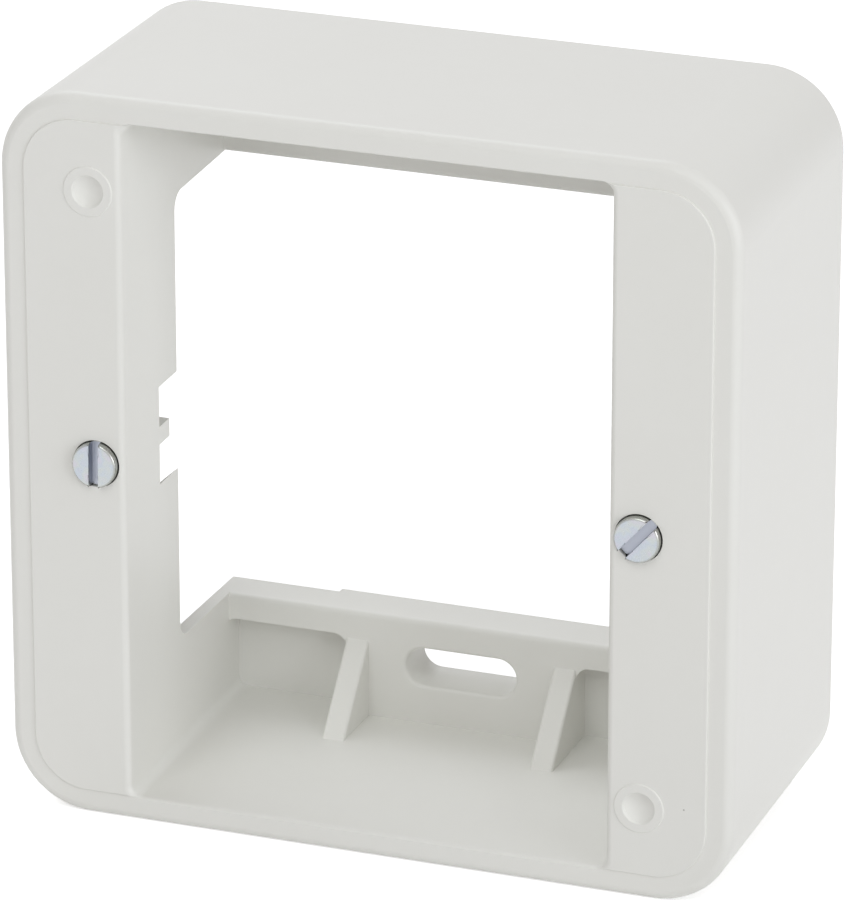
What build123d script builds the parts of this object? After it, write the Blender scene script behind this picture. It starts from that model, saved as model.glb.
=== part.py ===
from build123d import *
import os

# Surface mount frame: one moulded square frame and two slotted cheese head screws.
# X runs to the right, Y runs from the front to the wall, Z runs up. Sizes are in millimetres.
# The frame stands on its lower wall, with the origin under the middle of the whole part.

# Outer walls
SIDE = 81.0  # width and height at the front
DEPTH = 35.0  # front rim to wall face
CORNER_RADIUS = 8.6
DRAFT_IN = 0.2  # how far each outer side has come in at the wall face
FRONT_EDGE_RADIUS = 1.1
RIM = 2.8  # width of the front rim, which is also the wall's thickness

# Front plates left and right of the opening
PLATE_PROUD = 0.2  # how far the plates stand out of the rim
PLATE_EDGE_RADIUS = 0.15
PLATE_THICKNESS = 2.6
OPENING_WIDTH = 53.5
OPENING_CORNER = 1.2
OPENING_EDGE_RADIUS = 0.7

# Inner partitions, which run back from the opening's sides
PARTITION_OUTER = 28.6  # middle of the frame to the partition's face in the side hollow
PARTITION_DRAFT = 0.5  # how far the partition's inner face has gone outward at the wall face
PARTITION_DEPTH = 14.8  # front rim to the rear edge, between the cross strips
PARTITION_CORNER = 2.0
NOTCH_HEIGHT = 11.0  # at the partition's inner face
NOTCH_FLARE = 1.5  # how much further each end of the notch lies on the side of the hollow
NOTCH_DEPTH = 5.15
TOOTH_HEIGHT = 2.0
TOOTH_DEPTH = 2.85

# Cross strips at the wall face, above and below
STRIP_EDGE = 25.7  # middle of the frame to the strip's free edge, at the wall face
STRIP_DRAFT = 0.35  # how far that edge comes in from the wall face to the partition's rear edge
STRIP_DEPTH = 5.8
STRIP_EDGE_RADIUS = 0.6
LIP_HEIGHT = 2.8
POCKET_DEPTH = 3.0
POCKET_CORNER = 1.5
POCKET_EDGE = 27.7  # middle of the frame to the pocket's outer side, inside the partition
PAD_WIDTH = 26.6
RELIEF_FROM = 16.0  # middle of the frame to where the strip's rear face steps forward
RELIEF_DEPTH = 0.85
SLOT_LENGTH = 12.7
SLOT_WIDTH = 4.3
SLOT_EDGE_RADIUS = 0.45
SLOT_FROM_EDGE = 5.4  # strip's free edge to the slot's middle line

# Gusset ribs at both ends of each pad
RIB_THICKNESS = 2.6
RIB_REACH = 7.8  # how far a rib comes forward on the wall
RIB_DROP = 3.1  # strip's free edge to the rib's tip on the pad
RIB_EDGE_RADIUS = 0.3

# Blind pin holes on one diagonal, each in a low round pad on its plate
PIN_X = 30.4
PIN_Z = 30.1
PIN_HOLE_DIAMETER = 3.2
PIN_HOLE_DEPTH = 1.4
PIN_HOLE_DISH = 0.3  # how much deeper the hole's floor is in its middle
PIN_MOUTH_CHAMFER = 0.2
PIN_PAD_DIAMETER = 5.5
PIN_PAD_PROUD = 0.12
PIN_PAD_CHAMFER = 0.1

# Screws and their bosses
SCREW_SPACING = 60.0
SCREW_DIAMETER = 3.0
SCREW_LENGTH = 10.0
SCREW_TIP = 0.4
HEAD_DIAMETER = 5.0
HEAD_HEIGHT = 2.0
HEAD_PROUD = 0.85  # how far the head stands out of its plate
HEAD_CHAMFER = 0.25
HEAD_CLEARANCE = 0.12
SHANK_CLEARANCE = 0.03
DRIVER_SLOT_WIDTH = 1.05
DRIVER_SLOT_DEPTH = 1.1
SLOT_ANGLES = (89.0, 48.5)  # left and right screw, from +X towards +Z
BOSS_DIAMETER = 6.0
BOSS_DEPTH = 9.9  # front rim to the boss's rear end

# Worked out from the sizes above
INNER = SIDE - 2 * RIM
INNER_CORNER = CORNER_RADIUS - RIM
PLATE_FRONT = -PLATE_PROUD
PLATE_BACK = PLATE_FRONT + PLATE_THICKNESS
PIN_PAD_FRONT = PLATE_FRONT - PIN_PAD_PROUD
STRIP_FRONT = DEPTH - STRIP_DEPTH
POCKET_BACK = STRIP_FRONT + POCKET_DEPTH
LIP_EDGE = STRIP_EDGE + LIP_HEIGHT
SLOT_Z = STRIP_EDGE + SLOT_FROM_EDGE
SCREW_X = SCREW_SPACING / 2
FRONTMOST = PLATE_FRONT - HEAD_PROUD
HEAD_SEAT = FRONTMOST + HEAD_HEIGHT
PAST = 1.0  # how far a cutter runs past the face it opens
NEAR = 0.01  # how close to a plane an edge counts as lying in it
HEIGHT_TO_MIDDLE = SIDE / 2
PLACE = Pos(0, -(FRONTMOST + DEPTH) / 2, HEIGHT_TO_MIDDLE)
BOTH_WAYS = (-1, 1)


def facing_wall(y):
    """Plane across the frame at depth y, with its own X to the right and its normal towards the wall."""
    return Plane(origin=(0, y, 0), x_dir=(-1, 0, 0), z_dir=(0, 1, 0))


def box_between(x_range, y_range, z_range):
    """Box given by its low and high places along each axis."""
    lows = [min(pair) for pair in (x_range, y_range, z_range)]
    highs = [max(pair) for pair in (x_range, y_range, z_range)]
    sizes = [high - low for low, high in zip(lows, highs)]
    corner = Align.MIN
    return Pos(*lows) * Box(*sizes, align=(corner, corner, corner))


def rod(x, z, diameter, y_start, y_end):
    """Round bar along Y."""
    profile = facing_wall(y_start) * Pos(-x, z) * Circle(diameter / 2)
    return extrude(profile, amount=y_end - y_start)


def edges_at_depth(solid, y):
    """Edges of a solid that lie across the frame at depth y."""
    return solid.edges().filter_by_position(Axis.Y, y - NEAR, y + NEAR)


def inside_walls(y_start, y_end, into_wall=0):
    """Rounded square block between the outer walls, reaching into them by a given amount."""
    width = INNER + 2 * into_wall
    profile = facing_wall(y_start) * RectangleRounded(width, width, INNER_CORNER + into_wall)
    return extrude(profile, amount=y_end - y_start)


def outer_block():
    """Solid outer shape: a rounded square that narrows a little towards the wall."""
    front = facing_wall(0) * RectangleRounded(SIDE, SIDE, CORNER_RADIUS)
    back_side = SIDE - 2 * DRAFT_IN
    back = facing_wall(DEPTH) * RectangleRounded(back_side, back_side, CORNER_RADIUS - DRAFT_IN)
    block = loft([front, back], ruled=True)
    return fillet(edges_at_depth(block, 0), FRONT_EDGE_RADIUS)


def plate_field():
    """Low field inside the rim, from which the opening leaves the two front plates."""
    field = inside_walls(PLATE_FRONT, PLATE_BACK)
    return fillet(edges_at_depth(field, PLATE_FRONT), PLATE_EDGE_RADIUS)


def opening_cutter():
    """The central opening, as high as the frame is inside, with drafted sides and a rounded mouth."""
    grow = PARTITION_DRAFT / DEPTH
    near = OPENING_WIDTH / 2 - PAST * grow
    far = OPENING_WIDTH / 2 + (DEPTH + PAST) * grow
    corners = [(-near, -PAST), (near, -PAST), (far, DEPTH + PAST), (-far, DEPTH + PAST)]
    profile = Plane.XY.offset(-INNER / 2) * make_face(Polyline(*corners, close=True))
    shaft = extrude(profile, amount=INNER)
    long_edges = [edge for edge in shaft.edges() if abs(edge.tangent_at(0.5).Y) > 0.9]
    shaft = fillet(long_edges, OPENING_CORNER)
    block = box_between((-SIDE / 2, SIDE / 2), (PLATE_FRONT, DEPTH + PAST / 2), (-SIDE / 2, SIDE / 2))
    around = block - shaft
    inside = SIDE / 2 - NEAR
    front_edges = edges_at_depth(around, PLATE_FRONT)
    between_sides = front_edges.filter_by_position(Axis.X, -inside, inside)
    mouth = between_sides.filter_by_position(Axis.Z, -inside, inside)
    return block - fillet(mouth, OPENING_EDGE_RADIUS)


def side_hollow(way):
    """Hollow behind one front plate, between the partition and the outer wall."""
    keep = box_between((way * PARTITION_OUTER, way * SIDE), (0, DEPTH + 2 * PAST), (-SIDE, SIDE))
    return inside_walls(PLATE_BACK, DEPTH + PAST) & keep


def window_cutter():
    """Space between the cross strips behind the partitions, a little wider towards the wall."""
    edge_at_wall = STRIP_EDGE
    edge_in_front = STRIP_EDGE - STRIP_DRAFT
    past_wall = STRIP_EDGE + STRIP_DRAFT * PAST / (DEPTH - PARTITION_DEPTH)
    corners = [
        (PARTITION_DEPTH, edge_in_front),
        (DEPTH, edge_at_wall),
        (DEPTH + PAST, past_wall),
        (DEPTH + PAST, -past_wall),
        (DEPTH, -edge_at_wall),
        (PARTITION_DEPTH, -edge_in_front),
    ]
    reach = PARTITION_OUTER + PAST
    profile = Plane.YZ.offset(-reach) * make_face(Polyline(*corners, close=True))
    cutter = extrude(profile, amount=2 * reach)
    front_corners = cutter.edges().filter_by(Axis.X).group_by(Axis.Y)[0]
    return fillet(front_corners, PARTITION_CORNER)


def notch_cutter(way):
    """Notch in a partition's rear edge, flared towards the side hollow, around its tooth."""
    inner_x = way * (OPENING_WIDTH / 2 + PARTITION_DRAFT * PARTITION_DEPTH / DEPTH)
    outer_x = way * PARTITION_OUTER
    notch_front = PARTITION_DEPTH - NOTCH_DEPTH
    half = NOTCH_HEIGHT / 2
    corners = [
        (inner_x - way * PAST, half),
        (inner_x, half),
        (outer_x, half + NOTCH_FLARE),
        (outer_x, -half - NOTCH_FLARE),
        (inner_x, -half),
        (inner_x - way * PAST, -half),
    ]
    mirrored = [(-x, z) for x, z in corners]
    profile = facing_wall(notch_front) * make_face(Polyline(*mirrored, close=True))
    notch = extrude(profile, amount=NOTCH_DEPTH + PAST)
    tooth_z = TOOTH_HEIGHT / 2
    tooth_x = (inner_x - way * PAST, outer_x)
    return notch - box_between(tooth_x, (notch_front, notch_front + TOOTH_DEPTH), (-tooth_z, tooth_z))


def cross_strip(way):
    """Strip at the wall face: thin plate, lip along its free edge and thick pad in the middle."""
    across = (-PARTITION_OUTER, PARTITION_OUTER)
    to_wall = way * (INNER / 2 + PAST)
    block = box_between(across, (STRIP_FRONT, DEPTH), (0, to_wall)) - window_cutter()
    free_edge = edges_at_depth(block, STRIP_FRONT).filter_by(Axis.X).sort_by(Axis.Z)
    block = fillet(free_edge[0] if way > 0 else free_edge[-1], STRIP_EDGE_RADIUS)
    for side in BOTH_WAYS:
        pocket_x = (side * PAD_WIDTH / 2, side * POCKET_EDGE)
        pocket = box_between(pocket_x, (STRIP_FRONT - PAST, POCKET_BACK), (way * LIP_EDGE, way * SIDE))
        along_depth = pocket.edges().filter_by(Axis.Y)
        under_lip = along_depth.filter_by_position(Axis.Z, -LIP_EDGE - NEAR, LIP_EDGE + NEAR)
        block -= fillet(under_lip, POCKET_CORNER)
    slot = facing_wall(STRIP_FRONT - PAST) * Pos(0, way * SLOT_Z) * SlotOverall(SLOT_LENGTH, SLOT_WIDTH)
    block -= extrude(slot, amount=STRIP_DEPTH + 2 * PAST)
    reach = SLOT_LENGTH / 2 + NEAR
    beside = edges_at_depth(block, STRIP_FRONT).filter_by_position(Axis.X, -reach, reach)
    low = way * SLOT_Z - SLOT_WIDTH / 2 - NEAR
    high = way * SLOT_Z + SLOT_WIDTH / 2 + NEAR
    slot_edges = beside.filter_by_position(Axis.Z, low, high)
    return fillet(slot_edges, SLOT_EDGE_RADIUS)


def gusset(way, side):
    """Triangular rib that ties one end of the pad to the outer wall."""
    outer = side * PAD_WIDTH / 2
    wall = INNER / 2
    tip = STRIP_EDGE + RIB_DROP
    slope = (wall - tip) / RIB_REACH
    inside_pad = (STRIP_FRONT + PAST, way * (tip - slope * PAST))
    inside_foot = (STRIP_FRONT + PAST, way * (wall + PAST))
    inside_wall = (STRIP_FRONT - RIB_REACH - PAST / slope, way * (wall + PAST))
    profile = Plane.YZ.offset(outer) * make_face(Polyline(inside_pad, inside_foot, inside_wall, close=True))
    rib = extrude(profile, amount=RIB_THICKNESS, dir=(-side, 0, 0))
    slanted = [edge for edge in rib.edges() if abs(edge.tangent_at(0.5).Y * edge.tangent_at(0.5).Z) > NEAR]
    return fillet(slanted, RIB_EDGE_RADIUS)


def relief_cutter(side):
    """Shallow step that keeps the strips' outer ends off the wall."""
    whole = inside_walls(DEPTH - RELIEF_DEPTH, DEPTH + PAST)
    return whole & box_between((side * RELIEF_FROM, side * SIDE), (0, 2 * DEPTH), (-SIDE, SIDE))


def pin_pad(side):
    """Low round pad around a pin hole, with a broken edge."""
    pad = rod(side * PIN_X, -side * PIN_Z, PIN_PAD_DIAMETER, PIN_PAD_FRONT, PLATE_FRONT + PAST)
    return chamfer(edges_at_depth(pad, PIN_PAD_FRONT), PIN_PAD_CHAMFER)


def pin_hole_cutter(side):
    """Blind hole with a chamfered mouth and a dished floor, turned about its own axis."""
    radius = PIN_HOLE_DIAMETER / 2
    mouth = radius + PIN_MOUTH_CHAMFER
    floor = PLATE_FRONT + PIN_HOLE_DEPTH
    outline = [
        (0, PIN_PAD_FRONT - PAST),
        (mouth, PIN_PAD_FRONT - PAST),
        (mouth, PIN_PAD_FRONT),
        (radius, PIN_PAD_FRONT + PIN_MOUTH_CHAMFER),
        (radius, floor - PIN_HOLE_DISH),
        (0, floor),
    ]
    cutter = revolve(make_face(Polyline(*outline, close=True)), Axis.Y)
    return Pos(side * PIN_X, 0, -side * PIN_Z) * cutter


def build_frame():
    """The whole moulding, around the frame's own middle."""
    body = outer_block() + plate_field() - opening_cutter()
    fused_zone = inside_walls(0, DEPTH, RIM / 2)
    for side in BOTH_WAYS:
        body -= side_hollow(side)
    body -= window_cutter()
    for way in BOTH_WAYS:
        addition = cross_strip(way)
        for side in BOTH_WAYS:
            addition += gusset(way, side)
        body += addition & fused_zone
    for side in BOTH_WAYS:
        body += rod(side * SCREW_X, 0, BOSS_DIAMETER, PLATE_BACK - PAST, BOSS_DEPTH)
        body -= notch_cutter(side)
        body -= relief_cutter(side)
        body -= rod(side * SCREW_X, 0, SCREW_DIAMETER + 2 * SHANK_CLEARANCE, 0, BOSS_DEPTH + PAST)
        body -= rod(side * SCREW_X, 0, HEAD_DIAMETER + 2 * HEAD_CLEARANCE, FRONTMOST - PAST, HEAD_SEAT)
        body += pin_pad(side)
        body -= pin_hole_cutter(side)
    return body


def build_screw(side, slot_angle):
    """One slotted cheese head screw, seated in its counterbore."""
    x = side * SCREW_X
    head = rod(x, 0, HEAD_DIAMETER, FRONTMOST, HEAD_SEAT)
    head = chamfer(head.edges().group_by(Axis.Y)[0], HEAD_CHAMFER)
    blade = Box(2 * HEAD_DIAMETER, 2 * DRIVER_SLOT_DEPTH, DRIVER_SLOT_WIDTH)
    head -= Pos(x, FRONTMOST, 0) * Rot(0, -slot_angle, 0) * blade
    shank = rod(x, 0, SCREW_DIAMETER, HEAD_SEAT - PAST / 2, HEAD_SEAT + SCREW_LENGTH)
    shank = chamfer(shank.edges().group_by(Axis.Y)[-1], SCREW_TIP)
    return head + shank


def build_screws():
    """Both screws, left then right."""
    return [build_screw(side, angle) for side, angle in zip(BOTH_WAYS, SLOT_ANGLES)]


os.makedirs("parts", exist_ok=True)
export_step(PLACE * build_frame(), "parts/frame.step")
export_step(Compound([PLACE * screw for screw in build_screws()]), "parts/screws.step")
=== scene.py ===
"""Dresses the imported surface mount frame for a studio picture.

The frame node keeps its shape and takes the finish of moulded plastic. Dished floors lie in its two
pin holes, and a pair of threaded screws stands for the screws node. A white floor, soft lamps and a
camera at the picture's angle stand around them. All lengths are in metres.
"""

import logging
import math
from collections.abc import Mapping, Sequence
from dataclasses import dataclass, field
from enum import Enum

import bpy
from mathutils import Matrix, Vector


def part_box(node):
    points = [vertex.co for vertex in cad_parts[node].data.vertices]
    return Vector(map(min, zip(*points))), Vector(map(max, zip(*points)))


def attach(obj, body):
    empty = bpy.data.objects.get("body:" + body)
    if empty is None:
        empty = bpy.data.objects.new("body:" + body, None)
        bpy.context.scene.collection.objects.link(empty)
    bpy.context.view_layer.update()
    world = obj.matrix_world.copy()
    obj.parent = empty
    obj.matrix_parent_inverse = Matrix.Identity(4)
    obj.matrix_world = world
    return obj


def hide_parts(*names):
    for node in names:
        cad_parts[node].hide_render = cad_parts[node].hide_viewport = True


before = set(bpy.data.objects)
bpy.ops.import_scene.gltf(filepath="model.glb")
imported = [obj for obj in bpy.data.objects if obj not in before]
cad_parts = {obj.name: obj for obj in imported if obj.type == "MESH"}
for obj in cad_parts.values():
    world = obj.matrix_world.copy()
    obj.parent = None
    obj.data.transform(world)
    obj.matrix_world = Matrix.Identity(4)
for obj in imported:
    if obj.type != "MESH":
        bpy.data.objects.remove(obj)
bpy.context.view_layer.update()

LOG = logging.getLogger("surface_mount_frame")
MM = 0.001
BODY = "root"
WELD = 0.001 * MM
WHITE = (1.0, 1.0, 1.0)
BLACK = (0.0, 0.0, 0.0)

Colour = tuple[float, float, float]
Point = tuple[float, float, float]


class RecordSlot(Enum):
    """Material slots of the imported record."""

    PLASTIC = "white_plastic"
    ZINC = "zinc_steel"


class Solid(Enum):
    """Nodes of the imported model."""

    FRAME = "frame"
    SCREWS = "screws"


class Value:
    """A number output of a node that takes part in Python arithmetic."""

    def __init__(self, graph: "Graph", socket: bpy.types.NodeSocket) -> None:
        """Keeps the output and the tree it belongs to."""
        self.graph = graph
        self.socket = socket

    def __add__(self, other: "Number") -> "Value":
        """Sum."""
        return self.graph.math("ADD", self, other)

    def __sub__(self, other: "Number") -> "Value":
        """Difference."""
        return self.graph.math("SUBTRACT", self, other)

    def __rsub__(self, other: "Number") -> "Value":
        """Difference from a plain number."""
        return self.graph.math("SUBTRACT", other, self)

    def __mul__(self, other: "Number") -> "Value":
        """Product."""
        return self.graph.math("MULTIPLY", self, other)

    def __truediv__(self, other: "Number") -> "Value":
        """Quotient."""
        return self.graph.math("DIVIDE", self, other)

    def __rtruediv__(self, other: "Number") -> "Value":
        """Quotient of a plain number."""
        return self.graph.math("DIVIDE", other, self)

    def __pow__(self, other: "Number") -> "Value":
        """Power."""
        return self.graph.math("POWER", self, other)

    def __gt__(self, other: "Number") -> "Value":
        """One where this value is the larger."""
        return self.graph.math("GREATER_THAN", self, other)

    def __lt__(self, other: "Number") -> "Value":
        """One where this value is the smaller."""
        return self.graph.math("LESS_THAN", self, other)

    def __abs__(self) -> "Value":
        """Size without its sign."""
        return self.graph.math("ABSOLUTE", self)

    __radd__ = __add__
    __rmul__ = __mul__

    def smaller(self, other: "Number") -> "Value":
        """The smaller of two values."""
        return self.graph.math("MINIMUM", self, other)

    def larger(self, other: "Number") -> "Value":
        """The larger of two values."""
        return self.graph.math("MAXIMUM", self, other)

    def limited(self) -> "Value":
        """The value, kept from 0 to 1."""
        return self.larger(0.0).smaller(1.0)


Number = Value | float


class Graph:
    """A node tree that is built one node at a time."""

    def __init__(self, tree: bpy.types.NodeTree) -> None:
        """Starts with an empty tree."""
        tree.nodes.clear()
        self.tree = tree

    def node(
        self,
        kind: str,
        settings: Mapping[str, object] | None = None,
        inputs: Mapping[str, object] | None = None,
    ) -> bpy.types.Node:
        """Adds one node.

        Args:
            kind: the node's type.
            settings: its own settings, set before its sockets. "stops" are a ramp's places and
                colours.
            inputs: values or links by the socket's identifier or name.

        Returns:
            The new node.
        """
        made = self.tree.nodes.new(kind)
        for name, setting in (settings or {}).items():
            if name == "stops":
                self._set_stops(made.color_ramp, setting)
            else:
                setattr(made, name, setting)
        for key, given in (inputs or {}).items():
            self._feed(self._find(made.inputs, key), given)
        return made

    def value(
        self,
        kind: str,
        output: str,
        settings: Mapping[str, object] | None = None,
        inputs: Mapping[str, object] | None = None,
    ) -> Value:
        """Adds one node and gives one of its outputs as a value for arithmetic.

        Args:
            kind: the node's type.
            output: the output's identifier or name.
            settings: as for node.
            inputs: as for node.

        Returns:
            The output, wrapped.
        """
        made = self.node(kind, settings, inputs)
        return Value(self, self._find(made.outputs, output))

    def math(self, operation: str, *terms: Number) -> Value:
        """Adds a Math node on up to three terms.

        Args:
            operation: the Math node's operation.
            terms: values or plain numbers, in order.

        Returns:
            The result, wrapped.
        """
        made = self.node("ShaderNodeMath", {"operation": operation})
        for socket, term in zip(made.inputs, terms):
            self._feed(socket, term)
        return Value(self, made.outputs[0])

    def blend(self, factor: Number, low: object, high: object) -> Value:
        """Mixes two colours.

        Args:
            factor: 0 gives the first colour, 1 the second.
            low: first colour, as numbers or a link.
            high: second colour, as numbers or a link.

        Returns:
            The mixed colour's output, wrapped.
        """
        ends = {"Factor_Float": factor, "A_Color": low, "B_Color": high}
        return self.value("ShaderNodeMix", "Result_Color", {"data_type": "RGBA"}, ends)

    def vector(self, x: Number, y: Number, z: Number) -> Value:
        """Joins three numbers into a vector output."""
        return self.value("ShaderNodeCombineXYZ", "Vector", None, {"X": x, "Y": y, "Z": z})

    def link(self, source: object, node: bpy.types.Node, key: str) -> None:
        """Links a value, an output or a node's first output to a named input."""
        self._feed(self._find(node.inputs, key), source)

    def _feed(self, socket: bpy.types.NodeSocket, given: object) -> None:
        """Sets or links one input."""
        if isinstance(given, Value):
            self.tree.links.new(given.socket, socket)
        elif isinstance(given, bpy.types.NodeSocket):
            self.tree.links.new(given, socket)
        elif isinstance(given, bpy.types.Node):
            self.tree.links.new(given.outputs[0], socket)
        elif socket.type == "RGBA" and len(given) == 3:
            socket.default_value = (*given, 1.0)
        else:
            socket.default_value = given

    @staticmethod
    def _find(sockets: Sequence[bpy.types.NodeSocket], key: str) -> bpy.types.NodeSocket:
        """Finds a socket by its identifier, or else by its name."""
        for socket in sockets:
            if socket.identifier == key:
                return socket
        for socket in sockets:
            if socket.name == key and socket.enabled:
                return socket
        raise KeyError(key)

    @staticmethod
    def _set_stops(ramp: bpy.types.ColorRamp, stops: Sequence[tuple[float, Colour]]) -> None:
        """Gives a ramp its places and colours."""
        while len(ramp.elements) < len(stops):
            ramp.elements.new(1.0)
        for element, (place, colour) in zip(ramp.elements, stops):
            element.position = place
            element.color = (*colour, 1.0)


class Surface:
    """A material under construction: its tree, its shader and its patterns at real scale."""

    def __init__(self, name: str) -> None:
        """Makes the material with a Principled shader on its output.

        Args:
            name: the material's name.
        """
        self.material = bpy.data.materials.new(name)
        self.material.use_nodes = True
        self.graph = Graph(self.material.node_tree)
        self.shader = self.graph.node("ShaderNodeBsdfPrincipled")
        self.output = self.graph.node("ShaderNodeOutputMaterial", None, {"Surface": self.shader})
        self.place = self.graph.node("ShaderNodeTexCoord").outputs["Object"]

    def noise(
        self, size: float, detail: float = 2.0, rough: float = 0.5, shift: Point = (0, 0, 0)
    ) -> Value:
        """Soft random pattern.

        Args:
            size: the pattern's grain, in metres.
            detail: how many finer layers it has.
            rough: weight of the finer layers.
            shift: moves the pattern, in metres.

        Returns:
            A value from 0 to 1, mostly near the middle.
        """
        moving = {"Vector": self.place, "Location": shift}
        moved = self.graph.node("ShaderNodeMapping", None, moving)
        inputs = {"Vector": moved, "Scale": 1 / size, "Detail": detail, "Roughness": rough}
        return self.graph.value("ShaderNodeTexNoise", "Fac", None, inputs)

    def relief(
        self, height: Value, depth: float, strength: float, under: bpy.types.Node | None = None
    ) -> bpy.types.Node:
        """Fine relief in the normal.

        Args:
            height: pattern from 0 to 1.
            depth: its full height, in metres.
            strength: share of it that shows.
            under: a normal that it is laid over.

        Returns:
            The Bump node.
        """
        inputs = {"Height": height, "Distance": depth, "Strength": strength}
        if under is not None:
            inputs["Normal"] = under
        return self.graph.node("ShaderNodeBump", None, inputs)


@dataclass(frozen=True)
class MouldedPlastic:
    """White plastic as it comes out of the mould: matt, a little cloudy, with a few dark specks."""

    light: Colour = (0.840, 0.838, 0.802)
    dark: Colour = (0.822, 0.818, 0.778)
    speck: Colour = (0.34, 0.33, 0.30)
    roughness: float = 0.42
    specular: float = 0.42
    cloud_size: float = 26 * MM
    cloud_tone: float = 1.7
    cloud_roughness: float = 0.10
    mottle_size: float = 1.6 * MM
    mottle_tone: float = 0.5
    tone_shift: float = 0.6
    grain_size: float = 0.11 * MM
    grain_depth: float = 0.006 * MM
    grain_strength: float = 0.6
    grain_roughness: float = 0.12
    wave_size: float = 9 * MM
    wave_depth: float = 0.03 * MM
    wave_strength: float = 0.5
    speck_spacing: float = 7 * MM
    speck_radius: float = 0.10 * MM
    speck_share: float = 0.16
    speck_cover: float = 0.7

    def build(self) -> bpy.types.Material:
        """Makes the material."""
        surface = Surface(RecordSlot.PLASTIC.value + "_finish")
        graph = surface.graph
        cloud = surface.noise(self.cloud_size, 3.0, 0.55)
        mottle = surface.noise(self.mottle_size, 3.0, 0.6, (0.02, 0.01, 0.03))
        grain = surface.noise(self.grain_size, 2.0, 0.6, (0.01, 0.03, 0.02))
        tone = (cloud * self.cloud_tone + mottle * self.mottle_tone - self.tone_shift).limited()
        plain = graph.blend(tone, self.dark, self.light)
        colour = graph.blend(self.specks(surface), plain, self.speck)
        graph.link(colour, surface.shader, "Base Color")
        uneven = (grain - 0.5) * self.grain_roughness + (cloud - 0.5) * self.cloud_roughness
        rough = self.roughness + uneven
        graph.link(rough, surface.shader, "Roughness")
        surface.shader.inputs["Specular IOR Level"].default_value = self.specular
        wave = surface.noise(self.wave_size, 1.0)
        waves = surface.relief(wave, self.wave_depth, self.wave_strength)
        grained = surface.relief(grain, self.grain_depth, self.grain_strength, waves)
        graph.link(grained, surface.shader, "Normal")
        return surface.material

    def specks(self, surface: Surface) -> Value:
        """Mask of the few dark specks in the plastic.

        Args:
            surface: the material that they lie in.

        Returns:
            One in a speck, zero around it.
        """
        graph = surface.graph
        inputs = {"Vector": surface.place, "Scale": 1 / self.speck_spacing}
        cells = graph.node("ShaderNodeTexVoronoi", None, inputs)
        near = Value(graph, cells.outputs["Distance"]) < self.speck_radius / self.speck_spacing
        draw = {"Color": cells.outputs["Color"]}
        chosen = graph.value("ShaderNodeSeparateColor", "Red", None, draw) < self.speck_share
        return near * chosen * self.speck_cover


@dataclass(frozen=True)
class ZincPlate:
    """Clear passivated zinc on turned steel: a shifting bluish sheen, fine rings, and painted shade
    that darkens the head's side wall and the slot.
    """

    axis_x: float
    axis_z: float
    head_front: float
    head_radius: float
    # painted shade: the head's outer side wall is darkened towards this olive grey, standing in for
    # the dark ring of shadow and reflected gap around the head
    side: Colour = (0.34, 0.335, 0.28)
    shaded_side_from: float = 0.88  # in head radii, and so is shaded_side_fade
    shaded_side_fade: float = 0.06
    shaded_side_cover: float = 0.55
    # painted shade: the slot's faces are darkened towards this grey with their depth into the head;
    # the raised roughness there stands for the sawn finish
    slot: Colour = (0.39, 0.41, 0.47)
    slot_from: float = 0.1 * MM
    slot_fade: float = 0.4 * MM
    slot_reach: float = 0.97  # in head radii
    slot_shade_cover: float = 0.9
    slot_roughness: float = 0.12
    roughness: float = 0.27
    ring_size: float = 0.045 * MM
    ring_depth: float = 0.004 * MM
    ring_strength: float = 0.5
    ring_roughness: float = 0.12
    pit_size: float = 0.12 * MM
    pit_depth: float = 0.006 * MM
    pit_strength: float = 0.6
    pit_roughness: float = 0.25
    tint_size: float = 2.0 * MM
    tints: tuple[tuple[float, Colour], ...] = (
        (0.30, (0.48, 0.48, 0.54)),
        (0.43, (0.45, 0.49, 0.54)),
        (0.54, (0.48, 0.51, 0.51)),
        (0.66, (0.50, 0.49, 0.54)),
        (0.78, (0.49, 0.52, 0.50)),
    )

    def build(self) -> bpy.types.Material:
        """Makes the material."""
        surface = Surface(RecordSlot.ZINC.value + "_finish")
        graph = surface.graph
        parts = graph.node("ShaderNodeSeparateXYZ", None, {"Vector": surface.place})
        across = abs(Value(graph, parts.outputs["X"])) - self.axis_x
        above = Value(graph, parts.outputs["Z"]) - self.axis_z
        radius = (across * across + above * above) ** 0.5
        ring_inputs = {"W": radius / self.ring_size, "Scale": 1.0, "Detail": 2.0}
        rings = graph.value("ShaderNodeTexNoise", "Fac", {"noise_dimensions": "1D"}, ring_inputs)
        pits = surface.noise(self.pit_size, 3.0, 0.65)
        tint = surface.noise(self.tint_size, 2.0, 0.6, (0.004, 0.001, 0.002))
        ramp = graph.node("ShaderNodeValToRGB", {"stops": self.tints}, {"Fac": tint})
        share = radius / self.head_radius
        # painted shade mask: one on the head's outer side wall, zero on its face
        shaded_side = ((share - self.shaded_side_from) / self.shaded_side_fade).limited()
        # depth into the head drives the slot's painted shade and its rougher sawn finish
        depth = Value(graph, parts.outputs["Y"]) - self.head_front
        sunk = ((depth - self.slot_from) / self.slot_fade).limited()
        sawn_and_shaded = sunk * (share < self.slot_reach)
        # painted shade on the head's side wall
        head = graph.blend(shaded_side * self.shaded_side_cover, ramp, self.side)
        # painted shade in the slot, deeper faces darker
        colour = graph.blend(sawn_and_shaded * self.slot_shade_cover, head, self.slot)
        graph.link(colour, surface.shader, "Base Color")
        uneven = (pits - 0.5) * self.pit_roughness + (rings - 0.5) * self.ring_roughness
        rough = self.roughness + uneven + sawn_and_shaded * self.slot_roughness
        graph.link(rough, surface.shader, "Roughness")
        surface.shader.inputs["Metallic"].default_value = 1.0
        turned = surface.relief(rings, self.ring_depth, self.ring_strength)
        pitted = surface.relief(pits, self.pit_depth, self.pit_strength, turned)
        graph.link(pitted, surface.shader, "Normal")
        return surface.material


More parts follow.
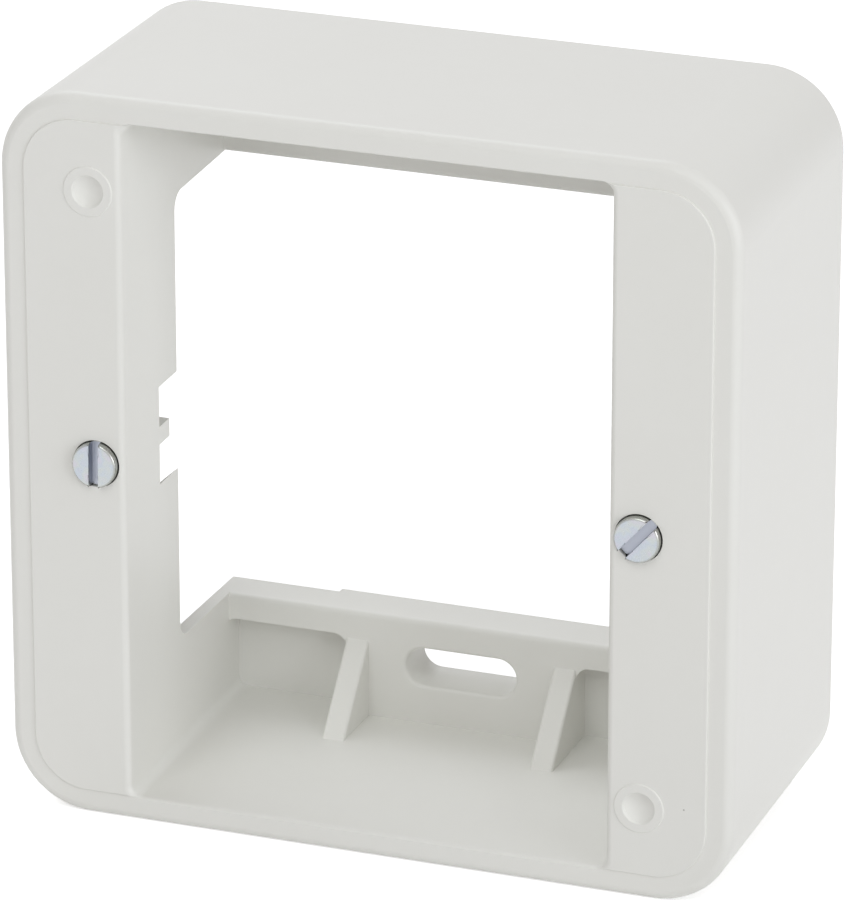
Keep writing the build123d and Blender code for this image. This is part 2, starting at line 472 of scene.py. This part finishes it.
@dataclass(frozen=True)
class StudioWhite:
    """The floor's paint: white to the camera and to reflections, and it keeps the shadow."""

    paint: Colour = (0.92, 0.92, 0.92)
    patch_size: float = 0.4
    patch_depth: float = 0.02
    lift: float = 0.55

    def build(self) -> bpy.types.Material:
        """Makes the material."""
        surface = Surface("studio_white")
        graph = surface.graph
        patches = surface.noise(self.patch_size, 1.0)
        tone = patches * self.patch_depth + (1 - self.patch_depth)
        paint = graph.blend(tone, BLACK, self.paint)
        plain = graph.node("ShaderNodeBsdfDiffuse", None, {"Color": paint})
        lit = seen_directly(graph) * self.lift
        glow = graph.node("ShaderNodeEmission", None, {"Strength": lit})
        both = graph.node("ShaderNodeAddShader")
        graph.tree.links.new(plain.outputs[0], both.inputs[0])
        graph.tree.links.new(glow.outputs[0], both.inputs[1])
        graph.link(both, surface.output, "Surface")
        graph.tree.nodes.remove(surface.shader)
        return surface.material


def seen_directly(graph: Graph) -> Value:
    """Mask of the rays that show the background.

    Args:
        graph: the tree it is used in.

    Returns:
        One for camera, mirror and see-through rays, zero for the rays that light the object.
    """
    path = graph.node("ShaderNodeLightPath")
    kinds = ("Is Camera Ray", "Is Glossy Ray", "Is Transmission Ray")
    camera, glossy, through = (Value(graph, path.outputs[kind]) for kind in kinds)
    return camera.larger(glossy).larger(through)


def keep_as_piece(mesh: bpy.types.Mesh, name: str) -> bpy.types.Object:
    """Puts a finished mesh into the scene.

    Args:
        mesh: mesh with its place in its points.
        name: name of the piece.

    Returns:
        The object, at the origin.
    """
    piece = bpy.data.objects.new(name, mesh)
    bpy.context.scene.collection.objects.link(piece)
    return piece


def baked(piece: bpy.types.Object) -> bpy.types.Mesh:
    """Turns an object and its modifiers into a plain mesh, and removes the modifiers.

    Args:
        piece: object with live modifiers.

    Returns:
        The plain mesh, which the object now has.
    """
    bpy.context.view_layer.update()
    graph = bpy.context.evaluated_depsgraph_get()
    mesh = bpy.data.meshes.new_from_object(piece.evaluated_get(graph), depsgraph=graph)
    piece.modifiers.clear()
    piece.data = mesh
    return mesh


def shade(mesh: bpy.types.Mesh, sharp_angle: float) -> None:
    """Smooths a mesh's shading, and folds it where its faces meet at more than an angle."""
    for polygon in mesh.polygons:
        polygon.use_smooth = True
    mesh.set_sharp_from_angle(angle=sharp_angle)


class ShapeGraph(Graph):
    """A Geometry Nodes tree with named inputs, which is run once on a piece."""

    kinds = {int: "NodeSocketInt", float: "NodeSocketFloat", tuple: "NodeSocketVector"}

    def __init__(self, name: str, inputs: Mapping[str, type]) -> None:
        """Starts the tree with its geometry, the named inputs and a material named Finish.

        Args:
            name: the tree's name.
            inputs: the inputs' names and the types of their values.
        """
        super().__init__(bpy.data.node_groups.new(name, "GeometryNodeTree"))
        face = self.tree.interface
        face.new_socket("Geometry", in_out="INPUT", socket_type="NodeSocketGeometry")
        face.new_socket("Geometry", in_out="OUTPUT", socket_type="NodeSocketGeometry")
        sockets = {label: self.kinds[kind] for label, kind in inputs.items()}
        sockets["Finish"] = "NodeSocketMaterial"
        self.identifiers = {
            label: face.new_socket(label, in_out="INPUT", socket_type=kind).identifier
            for label, kind in sockets.items()
        }
        self.given = self.node("NodeGroupInput").outputs

    def close(self, shape: bpy.types.Node) -> None:
        """Makes the shape real, gives it the finish and puts it out."""
        whole = self.node("GeometryNodeRealizeInstances", None, {"Geometry": shape})
        finished = {"Geometry": whole, "Material": self.given["Finish"]}
        painted = self.node("GeometryNodeSetMaterial", None, finished)
        self.node("NodeGroupOutput", None, {"Geometry": painted})

    def run(self, piece: bpy.types.Object, values: Mapping[str, object]) -> None:
        """Sets the inputs, runs the tree on a piece and keeps the result as its mesh."""
        modifier = piece.modifiers.new(piece.name, "NODES")
        modifier.node_group = self.tree
        for name, value in values.items():
            modifier[self.identifiers[name]] = value
        baked(piece)


@dataclass(frozen=True)
class Moulding:
    """The white frame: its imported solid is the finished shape, so it only takes its finish."""

    finish: bpy.types.Material

    def dress(self, node: bpy.types.Object) -> None:
        """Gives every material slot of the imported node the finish."""
        for slot in node.material_slots:
            slot.material = self.finish


@dataclass(frozen=True)
class PinMarks:
    """The dished floors of the two blind pin holes, which lie on one diagonal of the front."""

    across: float = 30.4 * MM
    above: float = 30.1 * MM
    radius: float = 1.62 * MM
    edge: float = 0.25 * MM  # depth of the dish's edge, from the frame's foremost plane
    dish: float = 0.55 * MM
    back: float = 1.15 * MM  # depth of the hidden rear side, from the same plane
    rings: int = 8
    segments: int = 48
    sharp_angle: float = math.radians(35)

    def build(self, finish: bpy.types.Material) -> bpy.types.Object:
        """Makes both floors as one piece.

        Args:
            finish: material of the moulding that they belong to.

        Returns:
            The finished piece.
        """
        piece = keep_as_piece(self.dished_floor(), "pin_marks")
        low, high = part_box(Solid.FRAME.value)
        middle = ((low.x + high.x) / 2, low.y, (low.z + high.z) / 2)
        spread = (self.across, 0.0, -self.above)
        self.tree().run(piece, {"Place": middle, "Spread": spread, "Finish": finish})
        shade(piece.data, self.sharp_angle)
        return piece

    def dress(self, piece: bpy.types.Object) -> None:
        """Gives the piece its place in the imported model."""
        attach(piece, BODY)

    def dished_floor(self) -> bpy.types.Mesh:
        """Turns one floor's half section round its axis.

        Returns:
            A closed mesh, hollow towards the front, with its depth along +Y.
        """
        section = []
        for ring in range(1, self.rings + 1):
            share = ring / self.rings
            section.append((self.radius * share, self.edge + self.dish * (1 - share**2)))
        section.append((self.radius, self.back))
        points = [(0.0, self.edge + self.dish, 0.0), (0.0, self.back, 0.0)]
        for radius, depth in section:
            for step in range(self.segments):
                turn = math.tau * step / self.segments
                points.append((radius * math.cos(turn), depth, radius * math.sin(turn)))
        faces = []
        for step in range(self.segments):
            here, there = 2 + step, 2 + (step + 1) % self.segments
            faces.append((0, here, there))
            for row in range(len(section) - 1):
                near, far = row * self.segments, (row + 1) * self.segments
                faces.append((there + near, here + near, here + far, there + far))
            last = (len(section) - 1) * self.segments
            faces.append((1, there + last, here + last))
        mesh = bpy.data.meshes.new("dished_floor")
        mesh.from_pydata(points, [], faces)
        return mesh

    def tree(self) -> ShapeGraph:
        """Builds the tree that repeats the floor."""
        graph = ShapeGraph("pin_marks_tree", {"Place": tuple, "Spread": tuple})
        both = {"Vector": graph.given["Place"], "Vector_001": graph.given["Spread"]}
        start = graph.node("ShaderNodeVectorMath", {"operation": "SUBTRACT"}, both)
        end = graph.node("ShaderNodeVectorMath", {"operation": "ADD"}, both)
        line = {"Count": 2, "Start Location": start, "Offset": end}
        pair = graph.node("GeometryNodeMeshLine", {"mode": "END_POINTS"}, line)
        spots = graph.node("GeometryNodeMeshToPoints", None, {"Mesh": pair})
        copies = {"Points": spots, "Instance": graph.given["Geometry"]}
        graph.close(graph.node("GeometryNodeInstanceOnPoints", None, copies))
        return graph


@dataclass
class ScrewPair:
    """Two slotted cheese head screws with a real thread, turned to the angles of the picture."""

    head_diameter: float = 5.0 * MM
    head_height: float = 2.0 * MM
    head_edge: float = 0.3 * MM
    edge_steps: int = 5
    shank_diameter: float = 3.0 * MM
    pitch: float = 0.5 * MM
    thread_depth: float = 0.3 * MM
    thread_flank: float = 3.2  # slope of the ridge's sides, in ridge heights over one pitch
    thread_flat: float = 0.3  # what a side would rise over half of the groove's floor
    tip: float = 0.4 * MM
    slot_width: float = 1.05 * MM
    slot_depth: float = 1.1 * MM
    slot_reach: float = 6.0  # the cutting blade's length, in shank radii
    left_angle: float = math.radians(89)
    right_angle: float = math.radians(48.5)
    segments: int = 56
    steps_per_turn: int = 8
    sharp_angle: float = math.radians(35)
    slot_edge: float = 0.045 * MM
    slot_edge_steps: int = 2
    slot_edge_angle: float = math.radians(70)
    front: float = field(init=False)
    length: float = field(init=False)
    spacing: float = field(init=False)
    height: float = field(init=False)

    def __post_init__(self) -> None:
        """Reads the screws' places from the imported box."""
        low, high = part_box(Solid.SCREWS.value)
        self.front = low.y
        self.length = high.y - low.y
        self.spacing = high.x - low.x - self.head_diameter
        self.height = (low.z + high.z) / 2

    def outline(self) -> list[tuple[float, float]]:
        """Half section of one screw, as radius and depth from the head's front.

        Returns:
            Points from the middle of the head to the middle of the tip.
        """
        head = self.head_diameter / 2
        shank = self.shank_diameter / 2
        points = [(0.0, 0.0), (head / 2, 0.0)]
        for step in range(self.edge_steps + 1):
            turn = math.pi / 2 * step / self.edge_steps
            out = head - self.head_edge * (1 - math.sin(turn))
            points.append((out, self.head_edge * (1 - math.cos(turn))))
        points += [(head, self.head_height), (shank, self.head_height)]
        threaded = self.length - self.head_height - self.tip
        rows = round(threaded / self.pitch * self.steps_per_turn)
        for row in range(1, rows + 1):
            points.append((shank, self.head_height + threaded * row / rows))
        points += [(shank - self.tip, self.length), (0.0, self.length)]
        return points

    def build(self) -> bpy.types.Object:
        """Makes both screws as one piece.

        Returns:
            The finished piece.
        """
        mesh = bpy.data.meshes.new("screw_outline")
        mesh.from_pydata([(radius, depth, 0.0) for radius, depth in self.outline()], [], [])
        piece = keep_as_piece(mesh, "screw_pair")
        sizes = self.sizes()
        self.tree(sizes).run(piece, {**sizes, "Finish": self.finish()})
        self.soften(piece)
        return piece

    def finish(self) -> bpy.types.Material:
        """Builds the finish that fits the screws' places."""
        zinc = ZincPlate(self.spacing / 2, self.height, self.front, self.head_diameter / 2)
        return zinc.build()

    def sizes(self) -> dict[str, object]:
        """The tree's named sizes and their values."""
        return {
            "Segments": self.segments,
            "Rows": len(self.outline()),
            "Shank Radius": self.shank_diameter / 2,
            "Thread Start": self.head_height + self.pitch,
            "Pitch": self.pitch,
            "Thread Depth": self.thread_depth,
            "Slot Width": self.slot_width,
            "Slot Depth": self.slot_depth,
            "Spacing": self.spacing,
            "Left Angle": self.left_angle,
            "Right Angle": self.right_angle,
            "Place": (0.0, self.front, self.height),
        }

    def dress(self, piece: bpy.types.Object) -> None:
        """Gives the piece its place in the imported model."""
        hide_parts(Solid.SCREWS.value)
        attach(piece, BODY)

    def soften(self, piece: bpy.types.Object) -> None:
        """Breaks the slot's sharp edges and sets where the shading folds."""
        edges = piece.modifiers.new("slot_edges", "BEVEL")
        edges.width = self.slot_edge
        edges.segments = self.slot_edge_steps
        edges.limit_method = "ANGLE"
        edges.angle_limit = self.slot_edge_angle
        edges.use_clamp_overlap = False
        shade(baked(piece), self.sharp_angle)

    def tree(self, sizes: Mapping[str, object]) -> ShapeGraph:
        """Builds the tree that turns, threads, slots and places the screws.

        Args:
            sizes: the named sizes, of which each becomes an input.

        Returns:
            The finished tree.
        """
        kinds = {name: type(value) for name, value in sizes.items()}
        graph = ShapeGraph("screw_pair_tree", kinds)
        size = {name: Value(graph, graph.given[name]) for name in sizes}
        slotted = self.slotted(graph, size, self.lathe(graph, size))
        graph.close(self.spread(graph, size, slotted))
        return graph

    def lathe(self, graph: ShapeGraph, size: Mapping[str, Value]) -> bpy.types.Node:
        """Turns the outline round its axis and winds the thread into the shank.

        Args:
            graph: the tree it is built in.
            size: the tree's inputs.

        Returns:
            The node that gives one closed screw.
        """
        grid_inputs = {
            "Size X": 1.0,
            "Size Y": 1.0,
            "Vertices X": size["Segments"] + 1,
            "Vertices Y": size["Rows"],
        }
        grid = graph.node("GeometryNodeMeshGrid", None, grid_inputs)
        index = graph.value("GeometryNodeInputIndex", "Index")
        column = graph.math("FLOOR", (index + 0.5) / size["Rows"])
        row = index - column * size["Rows"]
        turn = column / size["Segments"] * math.tau
        position = graph.node("GeometryNodeInputPosition")
        sampled = graph.node(
            "GeometryNodeSampleIndex",
            {"data_type": "FLOAT_VECTOR", "domain": "POINT"},
            {"Geometry": graph.given["Geometry"], "Value": position, "Index": row},
        )
        profile = graph.node("ShaderNodeSeparateXYZ", None, {"Vector": sampled})
        radius = Value(graph, profile.outputs["X"])
        depth = Value(graph, profile.outputs["Y"])

        phase = graph.math("FRACT", depth / size["Pitch"] + column / size["Segments"])
        ridge = (abs(phase - 0.5) * self.thread_flank - self.thread_flat).limited()
        fade = ((depth - size["Thread Start"]) / size["Pitch"] + 1.0).limited()
        cut = size["Thread Depth"] * (1 - ridge) * fade
        shank = abs(radius - size["Shank Radius"]) < WELD
        begun = depth > size["Thread Start"] - size["Pitch"]
        turned = radius - cut * (shank * begun)
        across = turned * graph.math("COSINE", turn)
        above = turned * graph.math("SINE", turn)
        place = {"Geometry": grid, "Position": graph.vector(across, depth, above)}
        shape = graph.node("GeometryNodeSetPosition", None, place)
        seams = {"Geometry": shape, "Distance": WELD}
        return graph.node("GeometryNodeMergeByDistance", None, seams)

    def slotted(
        self, graph: ShapeGraph, size: Mapping[str, Value], screw: bpy.types.Node
    ) -> bpy.types.Node:
        """Cuts the slot into the head.

        Args:
            graph: the tree it is built in.
            size: the tree's inputs.
            screw: the node that gives the screw.

        Returns:
            The node that gives the slotted screw.
        """
        reach = size["Shank Radius"] * self.slot_reach
        blade_size = graph.vector(reach, size["Slot Depth"] * 2, size["Slot Width"])
        blade = graph.node("GeometryNodeMeshCube", None, {"Size": blade_size})
        settings = {"operation": "DIFFERENCE", "solver": "EXACT"}
        cut = {"Mesh 1": screw, "Mesh 2": blade}
        return graph.node("GeometryNodeMeshBoolean", settings, cut)

    @staticmethod
    def spread(
        graph: ShapeGraph, size: Mapping[str, Value], screw: bpy.types.Node
    ) -> bpy.types.Node:
        """Sets the screw on both sides of the frame, each at its own angle.

        Args:
            graph: the tree it is built in.
            size: the tree's inputs.
            screw: the node that gives one screw.

        Returns:
            The node that gives the placed pair.
        """
        pair = graph.node(
            "GeometryNodeMeshLine",
            {"mode": "END_POINTS"},
            {
                "Count": 2,
                "Start Location": graph.vector(size["Spacing"] * -0.5, 0.0, 0.0),
                "Offset": graph.vector(size["Spacing"] * 0.5, 0.0, 0.0),
            },
        )
        which = graph.value("GeometryNodeInputIndex", "Index")
        angle = size["Left Angle"] + (size["Right Angle"] - size["Left Angle"]) * which
        spots = graph.node("GeometryNodeMeshToPoints", None, {"Mesh": pair})
        rotation = graph.vector(0.0, angle * -1.0, 0.0)
        copies = {"Points": spots, "Instance": screw, "Rotation": rotation}
        screws = graph.node("GeometryNodeInstanceOnPoints", None, copies)
        place = {"Geometry": screws, "Translation": size["Place"]}
        return graph.node("GeometryNodeTransform", None, place)


@dataclass(frozen=True)
class SoftBox:
    """A large soft lamp that points at the object."""

    name: str
    place: Point
    watts: float
    colour: Colour
    aim: Point = (0.0, 0.0, 0.04)
    side: float = 0.8

    def build(self) -> bpy.types.Object:
        """Makes the lamp."""
        light = bpy.data.lights.new(self.name, "AREA")
        light.shape = "SQUARE"
        light.size = self.side
        light.energy = self.watts
        light.color = self.colour
        lamp = bpy.data.objects.new(self.name, light)
        lamp.location = self.place
        way = Vector(self.aim) - Vector(self.place)
        lamp.rotation_euler = way.to_track_quat("-Z", "Y").to_euler()
        bpy.context.scene.collection.objects.link(lamp)
        return lamp


@dataclass(frozen=True)
class Studio:
    """White floor, even surroundings and soft lamps, at a level where colours render as written."""

    floor_side: float = 8.0
    ambient: float = 0.38
    ambient_colour: Colour = (1.04, 1.0, 0.99)
    lamps: tuple[SoftBox, ...] = (
        SoftBox("right_lamp", (1.13, -0.58, 0.31), 5.9, (0.966, 1.0, 1.04)),
        SoftBox("back_lamp", (-0.59, 0.59, 1.04), 4.8, (0.966, 1.0, 1.05)),
        SoftBox("front_lamp", (0.0, -0.84, 1.04), 3.9, (0.966, 1.0, 1.0)),
    )

    def build(self) -> None:
        """Makes the floor, the surroundings and the lamps."""
        self.floor()
        self.surroundings()
        for lamp in self.lamps:
            lamp.build()

    def floor(self) -> None:
        """Lays the floor under the frame's lower wall."""
        half = self.floor_side / 2
        corners = [(-half, -half, 0.0), (half, -half, 0.0), (half, half, 0.0), (-half, half, 0.0)]
        mesh = bpy.data.meshes.new("studio_floor")
        mesh.from_pydata(corners, [], [(0, 1, 2, 3)])
        mesh.materials.append(StudioWhite().build())
        keep_as_piece(mesh, "studio_floor")

    def surroundings(self) -> None:
        """White background that lights the object at a plain level."""
        world = bpy.data.worlds.new("studio")
        world.use_nodes = True
        bpy.context.scene.world = world
        graph = Graph(world.node_tree)
        seen = seen_directly(graph)
        colour = graph.blend(seen, self.ambient_colour, WHITE)
        strength = seen * (1 - self.ambient) + self.ambient
        shown = {"Color": colour, "Strength": strength}
        light = graph.node("ShaderNodeBackground", None, shown)
        graph.node("ShaderNodeOutputWorld", None, {"Surface": light})


@dataclass(frozen=True)
class PictureCamera:
    """The camera, where it stood for the picture."""

    azimuth: float = math.radians(20.40)
    elevation: float = math.radians(21.14)
    distance: float = 712.25 * MM
    target: Point = (0.01 * MM, 0.15 * MM, 39.81 * MM)
    focal_pixels: float = 6737.5
    picture_height: int = 900
    sensor: float = 36.0
    nearest: float = 0.01
    farthest: float = 20.0

    def build(self) -> bpy.types.Object:
        """Makes the camera and gives it to the scene.

        Returns:
            The camera.
        """
        data = bpy.data.cameras.new("picture_camera")
        data.sensor_width = self.sensor
        data.lens = self.focal_pixels * self.sensor / self.picture_height
        data.clip_start = self.nearest
        data.clip_end = self.farthest
        level = math.cos(self.elevation)
        right = math.sin(self.azimuth) * level
        ahead = -math.cos(self.azimuth) * level
        back = Vector((right, ahead, math.sin(self.elevation)))
        camera = bpy.data.objects.new("picture_camera", data)
        camera.location = Vector(self.target) + back * self.distance
        camera.rotation_euler = (-back).to_track_quat("-Z", "Y").to_euler()
        bpy.context.scene.collection.objects.link(camera)
        bpy.context.scene.camera = camera
        return camera


def report(piece: bpy.types.Object) -> None:
    """Logs one finished piece."""
    mesh = piece.data
    LOG.info("%s: %d points, %d faces", piece.name, len(mesh.vertices), len(mesh.polygons))


def main() -> None:
    """Builds the studio, the camera and the pieces in order."""
    logging.basicConfig(level=logging.INFO, format="%(message)s")
    bpy.context.scene.view_settings.view_transform = "Standard"
    Studio().build()
    PictureCamera().build()

    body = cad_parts[Solid.FRAME.value]
    plastic = MouldedPlastic().build()
    Moulding(plastic).dress(body)
    report(body)

    marks = PinMarks()
    floors = marks.build(plastic)
    marks.dress(floors)
    report(floors)

    screws = ScrewPair()
    pair = screws.build()
    screws.dress(pair)
    report(pair)


if __name__ == "__main__":
    main()
